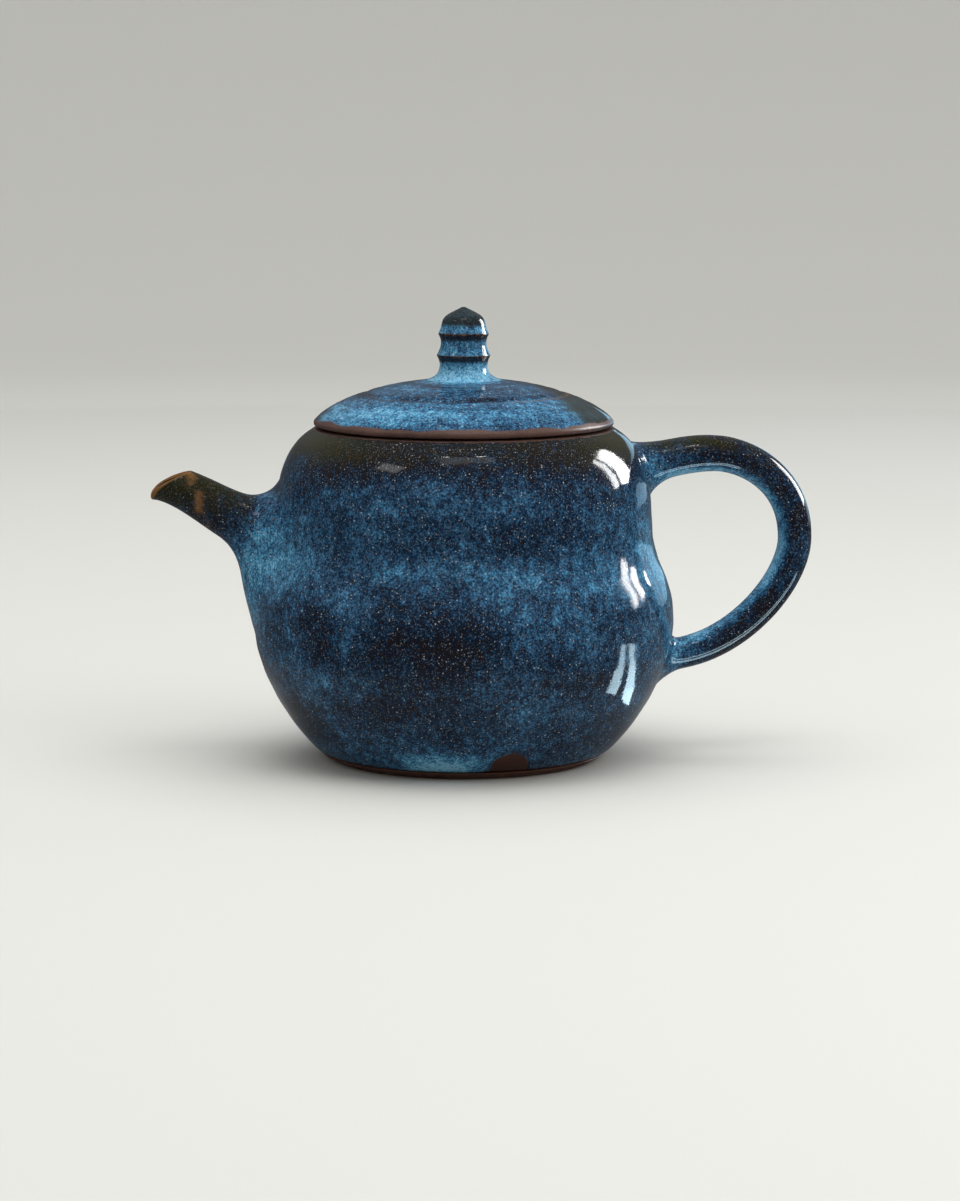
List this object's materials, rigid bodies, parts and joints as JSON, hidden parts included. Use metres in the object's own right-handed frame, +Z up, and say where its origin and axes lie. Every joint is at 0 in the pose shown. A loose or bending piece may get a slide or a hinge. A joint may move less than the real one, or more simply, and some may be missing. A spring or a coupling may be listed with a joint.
{
  "type": "teapot",
  "caption": "Pear-shaped wheel-thrown stoneware teapot with a dark blue speckled glaze, short raised spout, side handle and a domed lid with a ridged pointed knob.",
  "frame": {"origin": "centre of the foot, on the surface that the teapot stands on", "axes": "+Z up along the pot's axis, -X towards the spout, +X towards the handle, +Y to the far side when the spout is on the left"},
  "size_m": [0.1986, 0.126, 0.1352],
  "materials": {
    "body_glaze": "glossy dark blue glaze with fine pale speckle and brown patches",
    "spout_glaze": "glossy blue-black glaze that breaks to olive and tan at the lip",
    "handle_glaze": "glossy blue-black glaze, bright blue at the roots and inside the bend",
    "lid_glaze": "glossy bright blue glaze with concentric streaks",
    "knob_glaze": "glossy blue glaze that breaks to brown on the ridges",
    "bare_clay": "unglazed toasted red-brown stoneware clay"
  },
  "bodies": {
    "pot": {"body": "body_glaze", "foot_ring": "bare_clay", "mouth_rim": "body_glaze", "spout": "spout_glaze", "strainer": "body_glaze", "handle": "handle_glaze"},
    "lid_seat": {"lid_flange": "bare_clay"},
    "lid_top": {"lid": "lid_glaze", "knob": "knob_glaze"}
  },
  "joints": [
    {"name": "lid_lift", "type": "slide", "parent": "pot", "child": "lid_seat", "axis": [0, 0, 1], "range_m": [0, 0.06]},
    {"name": "lid_turn", "type": "hinge", "parent": "lid_seat", "child": "lid_top", "pos_m": [0, 0, 0.0994], "axis": [0, 0, 1], "continuous": true}
  ]
}
